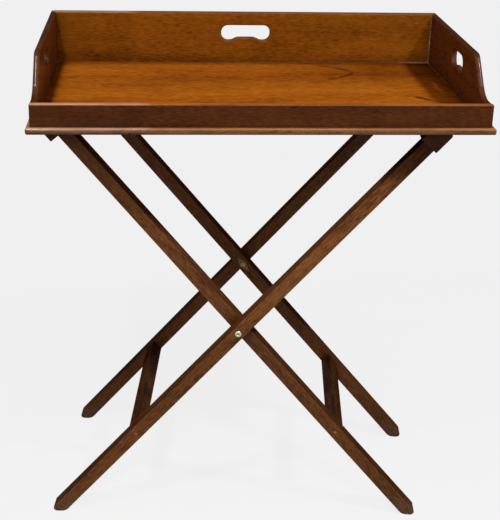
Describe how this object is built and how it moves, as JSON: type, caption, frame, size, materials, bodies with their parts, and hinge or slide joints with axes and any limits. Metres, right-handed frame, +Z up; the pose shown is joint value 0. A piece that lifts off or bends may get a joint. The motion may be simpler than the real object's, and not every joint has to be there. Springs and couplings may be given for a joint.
{
  "type": "butler tray",
  "caption": "Wooden butler tray with a low front rail, swept ends, a tall back and hand holes, resting loose on a folding stand of crossed legs joined by webbing.",
  "frame": {"origin": "on the floor, below the middle of the tray", "axes": "+X to the right along the tray's long side, +Y from the low front rail to the tall back, +Z up; the stand is turned 5.5 degrees about Z from the tray, as the picture shows it"},
  "size_m": [0.7606, 0.4566, 0.8793],
  "materials": {
    "floor_mahogany": "french-polished mahogany, warm orange-brown, long straight grain",
    "wall_mahogany": "french-polished mahogany, dark red-brown",
    "moulding_mahogany": "french-polished mahogany, worn paler on its nose",
    "stand_mahogany": "old polished mahogany, dark brown, worn at the edges",
    "brass": "aged brass, dull and worn pale where it is proud",
    "steel": "dark steel of old screws and tacks",
    "webbing": "plain woven jute webbing"
  },
  "bodies": {
    "outer_frame": {"outer_leg_front": "stand_mahogany", "outer_leg_back": "stand_mahogany", "outer_top_rail": "stand_mahogany", "outer_stretcher": "stand_mahogany", "outer_peg_front": "stand_mahogany", "outer_peg_back": "stand_mahogany", "pivot_bolt_front": "brass", "pivot_bolt_back": "brass", "pivot_spacer_front": "brass", "pivot_spacer_back": "brass", "pivot_plate_front_outer": "brass", "pivot_plate_back_outer": "brass", "webbing_front": "webbing", "webbing_middle": "webbing", "webbing_back": "webbing", "tack_outer_front_1": "steel", "tack_outer_front_2": "steel", "tack_outer_middle_1": "steel", "tack_outer_middle_2": "steel", "tack_outer_back_1": "steel", "tack_outer_back_2": "steel"},
    "inner_frame": {"inner_leg_front": "stand_mahogany", "inner_leg_back": "stand_mahogany", "inner_top_rail": "stand_mahogany", "inner_stretcher": "stand_mahogany", "inner_peg_front": "stand_mahogany", "inner_peg_back": "stand_mahogany", "pivot_rove_front": "brass", "pivot_rove_back": "brass", "pivot_plate_front_inner": "brass", "pivot_plate_back_inner": "brass", "tack_inner_front_1": "steel", "tack_inner_front_2": "steel", "tack_inner_middle_1": "steel", "tack_inner_middle_2": "steel", "tack_inner_back_1": "steel", "tack_inner_back_2": "steel"},
    "tray": {"tray_board": "floor_mahogany", "moulding_front": "moulding_mahogany", "moulding_right": "moulding_mahogany", "moulding_back": "moulding_mahogany", "moulding_left": "moulding_mahogany", "tray_rail_front": "wall_mahogany", "gallery_back": "floor_mahogany", "tray_end_left": "wall_mahogany", "tray_end_right": "wall_mahogany", "board_screw_front_1": "steel", "board_screw_front_2": "steel", "board_screw_front_3": "steel", "board_screw_back_1": "steel", "board_screw_back_2": "steel", "board_screw_back_3": "steel", "board_screw_left_1": "steel", "board_screw_left_2": "steel", "board_screw_right_1": "steel", "board_screw_right_2": "steel"}
  },
  "joints": [
    {"name": "stand_fold", "type": "hinge", "parent": "outer_frame", "child": "inner_frame", "pos_m": [-0.0125, 0, 0.389], "axis": [0.0958, 0.9954, 0], "range_deg": [0, 76.3], "deforming": ["webbing_front", "webbing_middle", "webbing_back"]},
    {"name": "tray_lift", "type": "slide", "parent": "outer_frame", "child": "tray", "axis": [0, 0, 1], "range_m": [0, 0.48]}
  ],
  "couplings": [
    {"joint": "tray_lift", "follows": "stand_fold", "m_per_rad": 0.36}
  ]
}
